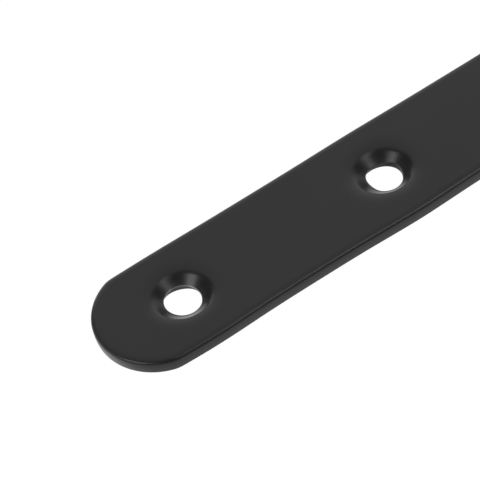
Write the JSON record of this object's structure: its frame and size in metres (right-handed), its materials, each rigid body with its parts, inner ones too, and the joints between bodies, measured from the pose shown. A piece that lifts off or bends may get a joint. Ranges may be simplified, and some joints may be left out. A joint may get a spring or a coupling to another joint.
{
  "type": "flat mending plate",
  "caption": "Straight flat steel strip with rounded ends and a row of countersunk screw holes, coated satin black, for joining two boards.",
  "frame": {"origin": "middle of the plate on its underside: halfway along its length, and halfway across the width that the bulges beside the holes reach", "axes": "+X along the length, with the end that the picture shows at -X; +Y across the plate, away from the side that faces the viewer; +Z out of the face with the countersinks"},
  "size_m": [0.116, 0.0164, 0.002],
  "materials": {
    "black_coat": "smooth satin black coating over steel"
  },
  "bodies": {
    "root": {"mending_plate": "black_coat"}
  },
  "joints": []
}
